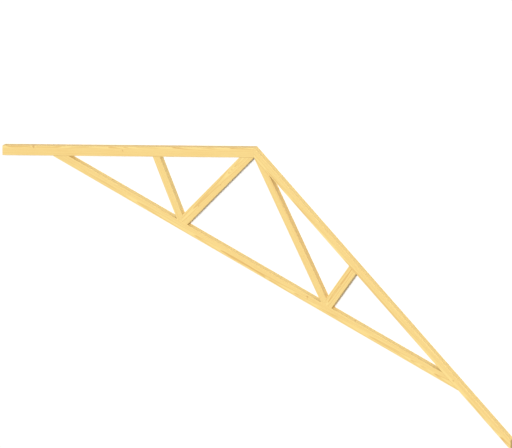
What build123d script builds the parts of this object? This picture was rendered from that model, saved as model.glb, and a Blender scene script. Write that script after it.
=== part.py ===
from build123d import *
import os
from math import cos, radians, sin, tan

# A timber roof truss of the W kind: two top chords, a bottom chord and four webs, all one stock.
# It lies flat: X runs along the span, Y up the rise, Z through the thickness, back face at Z = 0.
# Every piece is a length of the same planed stock with sawn ends. Sizes are in millimetres.

# The stock
stock_depth = 89.0
stock_thickness = 38.0
arris_radius = 2.5  # the long edges of planed timber are eased by this much

# The outline
roof_pitch = 26.0  # degrees, both slopes
heel_half_span = 2380.0  # ridge line to the heel, where the undersides of both chords would meet
tail_overhang = 600.0  # level distance from the heel to the plumb-cut end of a top chord

# The webs
panel_point = 843.0  # ridge line to the plumb joint between the feet of a long and a short web
long_web_slope = 53.8  # degrees from level, rising to the ridge
short_web_slope = 60.0  # degrees from level, rising towards the eaves

# The joints
joint_gap = 0.4  # what a saw leaves between two sawn faces
heel_butt = 6.0  # height of the plumb cut that takes the thin point off the bottom chord
tip_trim = 6.0  # level length taken off the thin point of a long web, short of the ridge line

# Heights above the underside of the bottom chord
pitch_rise = tan(radians(roof_pitch))
inner_ridge = heel_half_span * pitch_rise
ridge_top = inner_ridge + stock_depth / cos(radians(roof_pitch))
tail_drop = tail_overhang * pitch_rise

# The underside of the bottom chord, placed so that the truss is centred along Y
chord_base = -(ridge_top - tail_drop) / 2

# Longer than any piece, so that every end is made by a saw cut
rough_length = 4 * heel_half_span

LEFT = 1
RIGHT = -1


def lay_stock(side, edge_x, edge_y, heading, edge_offset):
    """A rough length of stock that passes through a point of the left half, or of its mirror image.

    heading is its direction in degrees. edge_offset is how far its centre line lies to the left of the point.
    """
    along = (side * cos(radians(heading)), sin(radians(heading)), 0)
    across = (-side * sin(radians(heading)), cos(radians(heading)), 0)
    centre = (
        side * edge_x + across[0] * edge_offset,
        chord_base + edge_y + across[1] * edge_offset,
        stock_thickness / 2,
    )
    with BuildSketch(Plane(origin=centre, x_dir=across, z_dir=along)) as section:
        RectangleRounded(stock_depth, stock_thickness, arris_radius)
    extrude(section.sketch, amount=rough_length, both=True)


def saw(side, x, y, facing, gap=0.0):
    """Cuts off all that lies past a point, in the direction facing in degrees, and leaves a gap there."""
    outward = (side * cos(radians(facing)), sin(radians(facing)), 0)
    point = (side * x - outward[0] * gap, chord_base + y - outward[1] * gap, 0)
    split(bisect_by=Plane(origin=point, z_dir=outward), keep=Keep.BOTTOM)


def saw_under_top_chord(side):
    """The bevel that seats a piece against the underside of the top chord on its side."""
    saw(side, -heel_half_span, 0, roof_pitch + 90, joint_gap)


def saw_on_bottom_chord(side):
    """The level cut that stands a web on the bottom chord."""
    saw(side, 0, stock_depth, -90, joint_gap)


def top_chord(side):
    """Sloping timber from the eaves tail to the ridge, plumb cut at both ends."""
    with BuildPart() as chord:
        lay_stock(side, -heel_half_span, 0, roof_pitch, stock_depth / 2)
        saw(side, 0, 0, 0, joint_gap / 2)
        saw(side, -heel_half_span - tail_overhang, 0, 180)
    return chord.part


def bottom_chord():
    """Level tie, scarfed under both top chords, with its thin points butted off plumb."""
    with BuildPart() as tie:
        lay_stock(LEFT, 0, 0, 0, stock_depth / 2)
        for side in (LEFT, RIGHT):
            saw_under_top_chord(side)
            saw(side, -heel_half_span + heel_butt / pitch_rise, 0, 180)
    return tie.part


# The webs of a side share a foot. The long web's lower edge runs into the inner corner of the ridge,
# and its upper edge meets the short web's inner edge on the plumb line through the panel point.
long_rise = tan(radians(long_web_slope))
crotch_height = (
    inner_ridge
    + stock_depth / cos(radians(long_web_slope))
    - panel_point * long_rise
)


def long_web(side):
    """Diagonal to the ridge: double bevel at the foot, long bevel with a trimmed point at the top."""
    with BuildPart() as web:
        lay_stock(side, 0, inner_ridge, long_web_slope, stock_depth / 2)
        saw_under_top_chord(side)
        saw(side, -tip_trim, 0, 0)
        saw_on_bottom_chord(side)
        saw(side, -panel_point, 0, 180, joint_gap / 2)
    return web.part


def short_web(side):
    """Strut to the middle of the top chord: double bevel at the foot, one bevel at the top."""
    with BuildPart() as web:
        lay_stock(side, -panel_point, crotch_height, 180 - short_web_slope, stock_depth / 2)
        saw_under_top_chord(side)
        saw_on_bottom_chord(side)
        saw(side, -panel_point, 0, 0, joint_gap / 2)
    return web.part


pieces = {"bottom_chord": bottom_chord()}
for hand, side in (("left", LEFT), ("right", RIGHT)):
    pieces[f"{hand}_top_chord"] = top_chord(side)
    pieces[f"{hand}_long_web"] = long_web(side)
    pieces[f"{hand}_short_web"] = short_web(side)

os.makedirs("parts", exist_ok=True)
for name, piece in pieces.items():
    piece.label = name
    export_step(piece, f"parts/{name}.step")
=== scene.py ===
import math

import bpy
from mathutils import Matrix, Vector


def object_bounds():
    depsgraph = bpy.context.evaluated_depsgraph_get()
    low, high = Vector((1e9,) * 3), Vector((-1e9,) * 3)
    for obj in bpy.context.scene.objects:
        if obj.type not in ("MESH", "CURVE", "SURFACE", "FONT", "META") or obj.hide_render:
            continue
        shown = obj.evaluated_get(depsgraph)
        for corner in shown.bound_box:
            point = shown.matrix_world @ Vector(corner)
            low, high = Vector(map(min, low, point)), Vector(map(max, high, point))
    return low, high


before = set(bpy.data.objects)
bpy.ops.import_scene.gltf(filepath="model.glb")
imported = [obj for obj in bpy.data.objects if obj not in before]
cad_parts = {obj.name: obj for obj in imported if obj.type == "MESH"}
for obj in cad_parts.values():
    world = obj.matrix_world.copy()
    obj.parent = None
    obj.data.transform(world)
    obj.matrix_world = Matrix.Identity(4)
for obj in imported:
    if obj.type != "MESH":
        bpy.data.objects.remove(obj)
cad_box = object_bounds()


# Bottom chord.
# The level tie along the foot of the truss: one length of planed softwood, its long edges eased by the
# planer, its ends sawn to the slope of the roof so that they seat under both top chords.


def calc(tree, operation, *values):
    """A Math node on sockets or plain numbers, as its output socket."""
    node = tree.nodes.new("ShaderNodeMath")
    node.operation = operation
    for slot, value in zip(node.inputs, values):
        if isinstance(value, bpy.types.NodeSocket):
            tree.links.new(value, slot)
        else:
            slot.default_value = value
    return node.outputs[0]


def ramp(tree, value, low, high, to_low=0.0, to_high=1.0):
    """value eased from the span low to high onto another span and held at its ends, as a socket."""
    node = tree.nodes.new("ShaderNodeMapRange")
    node.interpolation_type = "SMOOTHSTEP"
    tree.links.new(value, node.inputs["Value"])
    node.inputs["From Min"].default_value = low
    node.inputs["From Max"].default_value = high
    node.inputs["To Min"].default_value = to_low
    node.inputs["To Max"].default_value = to_high
    return node.outputs["Result"]


def noise(tree, place, cycles, detail, seed):
    """Noise from 0 to 1 at a place, as a socket. cycles is how often it turns in a metre along each axis."""
    scaled = tree.nodes.new("ShaderNodeVectorMath")
    scaled.operation = "MULTIPLY"
    tree.links.new(place, scaled.inputs[0])
    scaled.inputs[1].default_value = cycles
    node = tree.nodes.new("ShaderNodeTexNoise")
    node.noise_dimensions = "4D"
    node.inputs["Scale"].default_value = 1.0
    node.inputs["Detail"].default_value = detail
    tree.links.new(scaled.outputs[0], node.inputs["Vector"])
    tree.links.new(seed, node.inputs["W"])
    return node.outputs["Fac"]


def mix_colour(tree, share, first, second):
    """first where share is 0 and second where it is 1. A colour is a socket or three linear numbers."""
    node = tree.nodes.new("ShaderNodeMix")
    node.data_type = "RGBA"
    tree.links.new(share, node.inputs["Factor"])
    # Of the node's many sockets, inputs 6 and 7 and output 2 are the ones for colours
    for slot, colour in ((node.inputs[6], first), (node.inputs[7], second)):
        if isinstance(colour, bpy.types.NodeSocket):
            tree.links.new(colour, slot)
        else:
            slot.default_value = (*colour, 1.0)
    return node.outputs[2]


def split(tree, place):
    """The three parts of a vector socket."""
    node = tree.nodes.new("ShaderNodeSeparateXYZ")
    tree.links.new(place, node.inputs[0])
    return node.outputs


def length(tree, first, second):
    """The root of two squares added."""
    squares = calc(tree, "MULTIPLY_ADD", first, first, calc(tree, "MULTIPLY", second, second))
    return calc(tree, "SQRT", squares)


def new_group(name, takes, gives):
    """An empty shader group with named sockets: the group, its inputs by name and its outputs by name."""
    kinds = {"number": "NodeSocketFloat", "point": "NodeSocketVector", "colour": "NodeSocketColor"}
    group = bpy.data.node_groups.new(name, "ShaderNodeTree")
    for words, in_out in ((takes, "INPUT"), (gives, "OUTPUT")):
        for kind, names in words.items():
            for word in names:
                group.interface.new_socket(word, in_out=in_out, socket_type=kinds[kind])
    entry = group.nodes.new("NodeGroupInput")
    result = group.nodes.new("NodeGroupOutput")
    return group, entry.outputs, result.inputs


def place_group(tree, group, **values):
    """A group placed in a tree, its inputs set from sockets or numbers, as its output sockets by name."""
    node = tree.nodes.new("ShaderNodeGroup")
    node.node_tree = group
    for word, value in values.items():
        slot = node.inputs[word.replace("_", " ")]
        if isinstance(value, bpy.types.NodeSocket):
            tree.links.new(value, slot)
        else:
            slot.default_value = value
    return node.outputs


# A branch leaves the pith in each stretch of the stem, leans up the stem and thickens on its way out.
# It starts in the middle of its stretch, so that it isn't cut off where the next stretch begins.
earliest_start = 0.3
start_play = 0.4
branch_lean = 0.35
branch_core = 0.0012
slimmest_branch = 0.5
branch_flatness = 0.8
bulge_fall = 0.35
out_of_reach = 50.0


def make_branches():
    """One branch in each spacing of the stem. Distance is in branch radii, Bulge in metres."""
    group, given, made = new_group(
        "branches",
        {"point": ["From Pith"], "number": ["Spacing", "Taper", "Seed"]},
        {"number": ["Distance", "Bulge"]},
    )
    along, across, through = split(group, given["From Pith"])
    stretch = calc(group, "FLOOR", calc(group, "DIVIDE", along, given["Spacing"]))
    thrown = group.nodes.new("ShaderNodeCombineXYZ")
    group.links.new(stretch, thrown.inputs[0])
    group.links.new(given["Seed"], thrown.inputs[1])
    dice = group.nodes.new("ShaderNodeTexWhiteNoise")
    dice.noise_dimensions = "2D"
    group.links.new(thrown.outputs[0], dice.inputs["Vector"])
    place, turn, stout = split(group, dice.outputs["Color"])
    start = calc(group, "MULTIPLY_ADD", place, start_play, earliest_start)
    start = calc(group, "MULTIPLY", calc(group, "ADD", stretch, start), given["Spacing"])
    angle = calc(group, "MULTIPLY", turn, math.tau)
    cosine = calc(group, "COSINE", angle)
    sine = calc(group, "SINE", angle)
    out = calc(group, "MULTIPLY_ADD", across, cosine, calc(group, "MULTIPLY", through, sine))
    aside = calc(group, "MULTIPLY", through, cosine)
    aside = calc(group, "SUBTRACT", calc(group, "MULTIPLY", across, sine), aside)
    up = calc(group, "SUBTRACT", along, calc(group, "MULTIPLY_ADD", out, branch_lean, start))

    girth = calc(group, "MULTIPLY", given["Taper"], calc(group, "ADD", stout, slimmest_branch))
    radius = calc(group, "MULTIPLY_ADD", calc(group, "MAXIMUM", out, 0.0), girth, branch_core)
    flattened = calc(group, "MULTIPLY", up, branch_flatness)
    reach = calc(group, "DIVIDE", length(group, flattened, aside), radius)
    behind = calc(group, "MULTIPLY", calc(group, "LESS_THAN", out, 0.0), out_of_reach)
    reach = calc(group, "ADD", reach, behind)
    group.links.new(reach, made["Distance"])
    fade = calc(group, "MULTIPLY", calc(group, "POWER", reach, 2.0), -bulge_fall)
    fade = calc(group, "EXPONENT", fade)
    group.links.new(calc(group, "MULTIPLY", fade, radius), made["Bulge"])
    return group


branches = make_branches()

# Softwood from a cool forest: rings a few millimetres wide, each pale in spring and darker by autumn.
# The turns say how often a figure changes in a metre, along the stem and across it both ways.
pith_wander = 0.016
pith_turns = 0.9
stem_taper = 0.006
ring_waver = 0.0048
waver_turns = (2.5, 22, 22)
summer_swing = 1.9
summers_a_year = 0.3
autumn_span = (0.35, 0.9)
winter_span = (0.93, 1.0)
heart_radius = 0.055
heart_fade = 0.012
heart_waver = 0.02
heart_turns = (1.2, 14, 14)
bough_spacing = 0.95
bough_taper = 0.10
twig_spacing = 0.47
twig_taper = 0.045
twig_seed = 5.0
swelling = 1.1
knot_raggedness = 0.3
knot_turns = (180, 240, 240)
knot_edge = (1.0, 1.22)
rim_inside = (0.85, 1.1)
rim_outside = (1.12, 1.5)
rings_in_knot = 4.0


def make_stem():
    """The stem that a timber is sawn from: growth rings round a wandering pith, and the branches in them."""
    group, given, made = new_group(
        "softwood stem",
        {"point": ["Place", "Pith"], "number": ["Ring Width", "Seed"]},
        {"number": ["Late", "Year", "Heart", "Knot", "Rim", "Knot Ring"]},
    )
    along, across, through = split(group, given["Place"])
    where = group.nodes.new("ShaderNodeCombineXYZ")
    group.links.new(calc(group, "MULTIPLY", along, pith_turns), where.inputs[0])
    group.links.new(given["Seed"], where.inputs[1])
    drift = group.nodes.new("ShaderNodeTexNoise")
    drift.noise_dimensions = "2D"
    drift.inputs["Scale"].default_value = 1.0
    drift.inputs["Detail"].default_value = 1.0
    group.links.new(where.outputs[0], drift.inputs["Vector"])
    wander = group.nodes.new("ShaderNodeVectorMath")
    wander.operation = "MULTIPLY_ADD"
    group.links.new(drift.outputs["Color"], wander.inputs[0])
    wander.inputs[1].default_value = (0, pith_wander, pith_wander)
    group.links.new(given["Pith"], wander.inputs[2])
    offset = group.nodes.new("ShaderNodeVectorMath")
    offset.operation = "SUBTRACT"
    group.links.new(given["Place"], offset.inputs[0])
    group.links.new(wander.outputs[0], offset.inputs[1])
    from_pith = offset.outputs[0]

    seed = given["Seed"]
    bough = place_group(
        group,
        branches,
        From_Pith=from_pith,
        Spacing=bough_spacing,
        Taper=bough_taper,
        Seed=seed,
    )
    twig = place_group(
        group,
        branches,
        From_Pith=from_pith,
        Spacing=twig_spacing,
        Taper=twig_taper,
        Seed=calc(group, "ADD", seed, twig_seed),
    )
    along, across, through = split(group, from_pith)
    radius = length(group, across, through)
    heart = noise(group, from_pith, heart_turns, 2.0, seed)
    heart = calc(group, "MULTIPLY_ADD", heart, heart_waver, radius)
    heart = ramp(group, heart, heart_radius, heart_radius + heart_fade, 1.0, 0.0)
    group.links.new(heart, made["Heart"])
    radius = calc(group, "SUBTRACT", radius, calc(group, "MULTIPLY", along, stem_taper))
    for bulge in (bough["Bulge"], twig["Bulge"]):
        radius = calc(group, "SUBTRACT", radius, calc(group, "MULTIPLY", bulge, swelling))
    waver = noise(group, from_pith, waver_turns, 4.0, seed)
    radius = calc(group, "MULTIPLY_ADD", waver, ring_waver, radius)

    # Good and bad summers move the rings together and apart
    years = calc(group, "DIVIDE", radius, given["Ring Width"])
    summers = group.nodes.new("ShaderNodeTexNoise")
    summers.noise_dimensions = "1D"
    summers.inputs["Scale"].default_value = summers_a_year
    summers.inputs["Detail"].default_value = 1.0
    group.links.new(calc(group, "ADD", years, seed), summers.inputs["W"])
    years = calc(group, "MULTIPLY_ADD", summers.outputs["Fac"], summer_swing, years)
    season = calc(group, "FRACT", years)
    autumn = ramp(group, season, *autumn_span)
    late = calc(group, "MULTIPLY", autumn, ramp(group, season, *winter_span, 1.0, 0.0))
    group.links.new(late, made["Late"])
    luck = group.nodes.new("ShaderNodeTexWhiteNoise")
    luck.noise_dimensions = "1D"
    group.links.new(calc(group, "FLOOR", years), luck.inputs["W"])
    group.links.new(luck.outputs["Value"], made["Year"])

    nearest = calc(group, "MINIMUM", bough["Distance"], twig["Distance"])
    ragged = noise(group, from_pith, knot_turns, 2.0, seed)
    ragged = calc(group, "MULTIPLY_ADD", ragged, knot_raggedness, nearest)
    group.links.new(ramp(group, ragged, *knot_edge, 1.0, 0.0), made["Knot"])
    rim = ramp(group, ragged, *rim_inside)
    rim = calc(group, "MULTIPLY", rim, ramp(group, ragged, *rim_outside, 1.0, 0.0))
    group.links.new(rim, made["Rim"])
    knot_rings = calc(group, "MULTIPLY", ragged, rings_in_knot)
    group.links.new(calc(group, "FRACT", knot_rings), made["Knot Ring"])
    return group


stem_wood = make_stem()

# All the timbers have the bottom chord's section, 89 mm by 38 mm, which lies along Y and Z. An eased edge
# shows as a burnished line a few millimetres wide, the planer's knives scallop the faces across the grain,
# and the circular saw scores arcs on the ends.
half_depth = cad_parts["bottom_chord"].dimensions.y / 2
half_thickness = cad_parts["bottom_chord"].dimensions.z / 2
burnish_start = 0.002
burnish_width = 0.005
burnish_waver = 0.003
burnish_turns = (30, 200, 200)
end_facing = (0.25, 0.35)
planer_pitch = 0.0024
planer_turns = (3, 9, 9)
planer_patches = (0.35, 0.7)
saw_radius = 0.18
saw_pitch = 0.0032
saw_waver = 0.0015
saw_turns = (150, 60, 60)


def make_tool_marks():
    """What planer and saw leave: Edge near an arris, End on a sawn face, and the relief of each tool."""
    group, given, made = new_group(
        "tool marks",
        {"point": ["Place", "Run"], "number": ["Seed"]},
        {"number": ["Edge", "End", "Planer", "Saw"]},
    )
    seed = given["Seed"]
    along, across, through = split(group, given["Place"])
    to_side = calc(group, "SUBTRACT", half_depth, calc(group, "ABSOLUTE", across))
    to_face = calc(group, "SUBTRACT", half_thickness, calc(group, "ABSOLUTE", through))
    dents = noise(group, given["Place"], burnish_turns, 2.0, seed)
    corner = calc(group, "MULTIPLY_ADD", dents, burnish_waver, length(group, to_side, to_face))
    edge = ramp(group, corner, burnish_start, burnish_start + burnish_width, 1.0, 0.0)
    group.links.new(edge, made["Edge"])

    skin = group.nodes.new("ShaderNodeNewGeometry")
    facing = group.nodes.new("ShaderNodeVectorMath")
    facing.operation = "DOT_PRODUCT"
    group.links.new(skin.outputs["True Normal"], facing.inputs[0])
    group.links.new(given["Run"], facing.inputs[1])
    end = ramp(group, calc(group, "ABSOLUTE", facing.outputs["Value"]), *end_facing)
    group.links.new(end, made["End"])

    wave = calc(group, "SINE", calc(group, "MULTIPLY", along, math.tau / planer_pitch))
    fades = ramp(group, noise(group, given["Place"], planer_turns, 2.0, seed), *planer_patches)
    group.links.new(calc(group, "MULTIPLY", wave, fades), made["Planer"])
    arc = length(group, calc(group, "ADD", through, saw_radius), across)
    shake = noise(group, given["Place"], saw_turns, 2.0, seed)
    shaken = calc(group, "MULTIPLY_ADD", shake, saw_waver, arc)
    score = calc(group, "SINE", calc(group, "MULTIPLY", shaken, math.tau / saw_pitch))
    group.links.new(calc(group, "MULTIPLY", score, end), made["Saw"])
    return group


tool_marks = make_tool_marks()

# Pale, slightly yellow wood, a little warmer towards the heart and in the autumn part of a ring. A share
# says how much of its colour a knot, a resin canal or an eased edge shows, and how far a tone goes.
spring_wood = (0.774, 0.600, 0.239)
autumn_wood = (0.600, 0.348, 0.100)
honey_wood = (0.739, 0.500, 0.170)
heart_wood = (0.730, 0.483, 0.187)
canal_wood = (0.452, 0.252, 0.078)
knot_wood = (0.539, 0.296, 0.091)
knot_rim = (0.348, 0.165, 0.052)
end_spring = (0.760, 0.555, 0.225)
end_autumn = (0.470, 0.270, 0.085)
patch_turns = (1.6, 14, 14)
patch_span = (0.3, 0.75)
fibre_turns = (14, 1400, 1400)
fibre_span = (0.42, 0.75)
canal_turns = (70, 1000, 1000)
canal_span = (0.70, 0.78)
fuzz_turns = (900, 900, 900)
faintest_ring = 0.4
ring_play = 0.5
heart_share = 0.35
fibre_share = 0.26
canal_share = 0.3
knot_share = 0.75
knot_ring_share = 0.25
rim_share = 0.45
burnish_share = 0.25
end_share = 0.85
end_ring_share = 0.7
end_fuzz_share = 0.35
end_saw_share = 0.1

# Autumn wood and knots are hard and take a shine, fibres and sawn ends are dull. A height is a share of the
# relief's depth.
planed_roughness = 0.56
late_shine = 0.08
knot_shine = 0.1
fibre_dullness = 0.08
end_dullness = 0.25
late_height = 0.35
fibre_height = 0.5
canal_sink = 0.3
planer_height = 0.12
saw_height = 0.35
fuzz_height = 0.9


def make_softwood():
    """The finished surface of a planed timber with sawn ends: its colour, its roughness and its relief."""
    group, given, made = new_group(
        "planed softwood",
        {"point": ["Place", "Run", "Pith"], "number": ["Ring Width", "Warmth", "Seed"]},
        {"colour": ["Colour"], "number": ["Roughness", "Height"]},
    )
    place = given["Place"]
    seed = given["Seed"]
    pith = given["Pith"]
    stem = place_group(group, stem_wood, Place=place, Pith=pith, Ring_Width=given["Ring Width"], Seed=seed)
    marks = place_group(group, tool_marks, Place=place, Run=given["Run"], Seed=seed)
    fibre = noise(group, place, fibre_turns, 3.0, seed)
    fuzz = noise(group, place, fuzz_turns, 2.0, seed)
    canal = ramp(group, noise(group, place, canal_turns, 0.0, seed), *canal_span)
    patch = ramp(group, noise(group, place, patch_turns, 2.0, seed), *patch_span)
    patch = calc(group, "MULTIPLY", patch, given["Warmth"])

    wood = mix_colour(group, patch, spring_wood, honey_wood)
    wood = mix_colour(group, calc(group, "MULTIPLY", stem["Heart"], heart_share), wood, heart_wood)
    ring = calc(group, "MULTIPLY_ADD", stem["Year"], ring_play, faintest_ring)
    ring = calc(group, "MULTIPLY", stem["Late"], ring)
    wood = mix_colour(group, ring, wood, autumn_wood)
    wood = mix_colour(group, ramp(group, fibre, *fibre_span, 0.0, fibre_share), wood, autumn_wood)
    wood = mix_colour(group, calc(group, "MULTIPLY", canal, canal_share), wood, canal_wood)
    knot_ring = calc(group, "MULTIPLY", stem["Knot Ring"], knot_ring_share)
    knot = mix_colour(group, knot_ring, knot_wood, autumn_wood)
    wood = mix_colour(group, calc(group, "MULTIPLY", stem["Knot"], knot_share), wood, knot)
    wood = mix_colour(group, calc(group, "MULTIPLY", stem["Rim"], rim_share), wood, knot_rim)
    wood = mix_colour(group, calc(group, "MULTIPLY", marks["Edge"], burnish_share), wood, honey_wood)
    end_ring = calc(group, "MULTIPLY", marks["Saw"], end_saw_share)
    end_ring = calc(group, "MULTIPLY_ADD", fuzz, end_fuzz_share, end_ring)
    end_ring = calc(group, "MULTIPLY_ADD", stem["Late"], end_ring_share, end_ring)
    end_wood = mix_colour(group, end_ring, end_spring, end_autumn)
    wood = mix_colour(group, calc(group, "MULTIPLY", marks["End"], end_share), wood, end_wood)
    group.links.new(wood, made["Colour"])

    rough = calc(group, "MULTIPLY_ADD", stem["Late"], -late_shine, planed_roughness)
    rough = calc(group, "MULTIPLY_ADD", fibre, fibre_dullness, rough)
    rough = calc(group, "MULTIPLY_ADD", stem["Knot"], -knot_shine, rough)
    rough = calc(group, "MULTIPLY_ADD", marks["End"], end_dullness, rough)
    group.links.new(rough, made["Roughness"])

    height = calc(group, "MULTIPLY", fibre, fibre_height)
    height = calc(group, "MULTIPLY_ADD", stem["Late"], late_height, height)
    height = calc(group, "MULTIPLY_ADD", canal, -canal_sink, height)
    height = calc(group, "MULTIPLY_ADD", marks["Planer"], planer_height, height)
    height = calc(group, "MULTIPLY_ADD", marks["Saw"], saw_height, height)
    end_fuzz = calc(group, "MULTIPLY", marks["End"], fuzz)
    height = calc(group, "MULTIPLY_ADD", end_fuzz, fuzz_height, height)
    group.links.new(height, made["Height"])
    return group


softwood = make_softwood()
relief_depth = 0.0003
relief_strength = 0.5
planed_gloss = 0.35


def centre_line(solid, run):
    """Where a timber's centre line enters its first end: the middle of its section, in metres."""
    across = Vector((-run.y, run.x, 0))
    start = min(run.dot(corner.co) for corner in solid.vertices)
    sides = [across.dot(corner.co) for corner in solid.vertices]
    return run * start + across * (min(sides) + max(sides)) / 2 + Vector((0, 0, half_thickness))


def finish_timber(node, heading, pith, ring_width, warmth, seed):
    """Gives a timber its wood, with the grain along its run. pith is across and through from its middle."""
    run = Vector((math.cos(heading), math.sin(heading), 0))
    wood = bpy.data.materials.new(f"{node} softwood")
    wood.use_nodes = True
    tree = wood.node_tree
    shader = tree.nodes["Principled BSDF"]
    spot = tree.nodes.new("ShaderNodeTexCoord")
    local = tree.nodes.new("ShaderNodeMapping")
    local.vector_type = "TEXTURE"
    local.inputs["Location"].default_value = centre_line(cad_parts[node].data, run)
    local.inputs["Rotation"].default_value = (0, 0, heading)
    tree.links.new(spot.outputs["Object"], local.inputs["Vector"])
    surface = place_group(
        tree,
        softwood,
        Place=local.outputs[0],
        Run=run,
        Pith=(0, *pith),
        Ring_Width=ring_width,
        Warmth=warmth,
        Seed=seed,
    )
    bump = tree.nodes.new("ShaderNodeBump")
    bump.inputs["Strength"].default_value = relief_strength
    bump.inputs["Distance"].default_value = relief_depth
    tree.links.new(surface["Height"], bump.inputs["Height"])
    tree.links.new(surface["Colour"], shader.inputs["Base Color"])
    tree.links.new(surface["Roughness"], shader.inputs["Roughness"])
    tree.links.new(bump.outputs[0], shader.inputs["Normal"])
    shader.inputs["Specular IOR Level"].default_value = planed_gloss
    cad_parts[node].material_slots[0].material = wood


finish_timber("bottom_chord", 0.0, (-0.020, -0.075), ring_width=0.0031, warmth=0.3, seed=47.0)

# Top chords.
# Two sloping timbers of the same stock. They meet in a plumb cut at the ridge, run down over the ends of
# the bottom chord and on past the eaves, where they are cut plumb to take a fascia board.

roof_pitch = math.radians(26)
finish_timber("left_top_chord", roof_pitch, (0.030, -0.060), ring_width=0.0031, warmth=0.35, seed=11.0)
finish_timber("right_top_chord", -roof_pitch, (-0.035, -0.082), ring_width=0.0031, warmth=0.25, seed=19.0)

# Long webs.
# Diagonals from the bottom chord to the inner corner of the ridge, with a two-sided bevel at the foot and
# a long bevel, its thin point trimmed, at the top.

long_slope = math.radians(53.8)
long_back_slope = math.pi - long_slope
finish_timber("left_long_web", long_slope, (0.010, -0.052), ring_width=0.0026, warmth=0.3, seed=23.0)
finish_timber("right_long_web", long_back_slope, (-0.060, -0.040), ring_width=0.0031, warmth=0.45, seed=29.0)

# Short webs.
# Struts from the same feet to the middle of each top chord, sawn like the long webs at the foot and with
# one bevel at the top.

short_slope = math.radians(60)
short_back_slope = math.pi - short_slope
finish_timber("left_short_web", short_back_slope, (0.040, -0.070), ring_width=0.0031, warmth=0.2, seed=37.0)
finish_timber("right_short_web", short_slope, (0.0, -0.045), ring_width=0.0036, warmth=0.3, seed=41.0)

# Studio.
# A pale floor that reaches past what the long lens sees, one broad key light from high over the front face
# and a little beyond the ridge, and a soft even fill from an all-round white screen.

floor_grey = 0.77
floor_roughness = 0.9
floor_gloss = 0.1
floor_reach = 2000.0
key_strength = 4.2
key_breadth = math.radians(28)
key_comes_from = Vector((0.15, 0.415, 0.897))
screen_white = 1.0
screen_fill = 0.14

floor_paint = bpy.data.materials.new("pale floor")
floor_paint.use_nodes = True
floor_shader = floor_paint.node_tree.nodes["Principled BSDF"]
floor_shader.inputs["Base Color"].default_value = (floor_grey, floor_grey, floor_grey, 1.0)
floor_shader.inputs["Roughness"].default_value = floor_roughness
floor_shader.inputs["Specular IOR Level"].default_value = floor_gloss
bpy.ops.mesh.primitive_plane_add(size=floor_reach)
floor = bpy.context.object
floor.name = "studio_floor"
floor.data.materials.append(floor_paint)

key = bpy.data.lights.new("key", "SUN")
key.energy = key_strength
key.angle = key_breadth
key_light = bpy.data.objects.new("key", key)
key_light.rotation_mode = "QUATERNION"
key_light.rotation_quaternion = key_comes_from.to_track_quat("Z", "Y")
bpy.context.collection.objects.link(key_light)

# The camera sees the screen white, and the timber takes less light from it
screen = bpy.data.worlds.new("studio")
screen.use_nodes = True
glow = screen.node_tree.nodes["Background"]
glow.inputs["Color"].default_value = (1.0, 1.0, 1.0, 1.0)
seen = screen.node_tree.nodes.new("ShaderNodeLightPath").outputs["Is Camera Ray"]
strength = ramp(screen.node_tree, seen, 0.0, 1.0, screen_fill, screen_white)
screen.node_tree.links.new(strength, glow.inputs["Strength"])
bpy.context.scene.world = screen
bpy.context.scene.view_settings.view_transform = "Standard"

# Camera.
# A very long lens far off, seeing the right, the top and the front of the truss by equal amounts. It aims
# a few millimetres off the middle, which shares out what perspective is left.

view_width = 4.2366
long_lens = 1400.0
aim_right = 0.005
aim_down = 0.002

eye = bpy.data.cameras.new("photo_view")
eye.lens = long_lens
stand_off = view_width * eye.lens / eye.sensor_width
towards_eye = Vector((1.0, 1.0, 1.0)).normalized()
to_right = Vector((0.0, 1.0, 0.0)).cross(towards_eye).normalized()
to_top = towards_eye.cross(to_right)
turned = Matrix((to_right, to_top, towards_eye)).transposed()
aim = (cad_box[0] + cad_box[1]) / 2 + to_right * aim_right - to_top * aim_down
camera = bpy.data.objects.new("photo_view", eye)
camera.matrix_world = Matrix.LocRotScale(aim + towards_eye * stand_off, turned.to_quaternion(), None)
eye.clip_start = 1.0
eye.clip_end = stand_off * 3
bpy.context.collection.objects.link(camera)
bpy.context.scene.camera = camera
